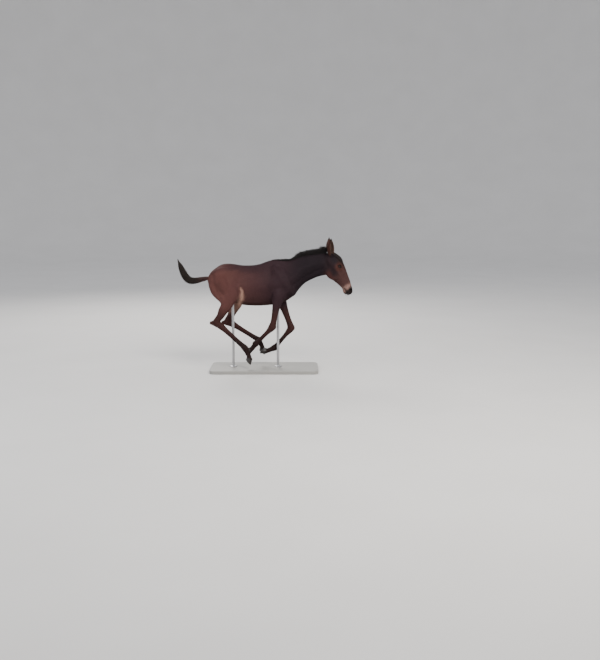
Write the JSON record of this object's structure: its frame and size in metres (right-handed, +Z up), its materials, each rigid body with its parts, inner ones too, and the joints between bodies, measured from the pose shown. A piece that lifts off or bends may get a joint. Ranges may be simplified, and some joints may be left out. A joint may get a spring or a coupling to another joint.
{
  "type": "mule foal",
  "caption": "Life-size still model of a dark bay mule foal in the gathered phase of a gallop, held on a flat display stand by short rods.",
  "frame": {"origin": "centre of the bounding box, on the floor under the stand's base", "axes": "+X towards the muzzle, +Y to the foal's left, +Z up"},
  "size_m": [1.6076, 0.46, 1.2326],
  "materials": {
    "coat": "short dark bay coat, matt",
    "eye": "wet gloss",
    "hoof": "dark horn, satin",
    "stand_paint": "satin grey paint on board",
    "stand_steel": "brushed"
  },
  "bodies": {
    "root": {"torso": "coat", "neck": "coat", "head": "coat", "ear_left": "coat", "ear_right": "coat", "eye_left": "eye", "eye_right": "eye", "tail_dock": "coat", "tail_brush": "coat", "forearm_left": "coat", "forearm_right": "coat", "cannon_fore_left": "coat", "cannon_fore_right": "coat", "pastern_fore_left": "coat", "pastern_fore_right": "coat", "hoof_fore_left": "hoof", "hoof_fore_right": "hoof", "gaskin_left": "coat", "gaskin_right": "coat", "cannon_hind_left": "coat", "cannon_hind_right": "coat", "pastern_hind_left": "coat", "pastern_hind_right": "coat", "hoof_hind_left": "hoof", "hoof_hind_right": "hoof", "stand_base": "stand_paint", "stand_rod_front": "stand_steel", "stand_rod_rear": "stand_steel"}
  },
  "joints": []
}
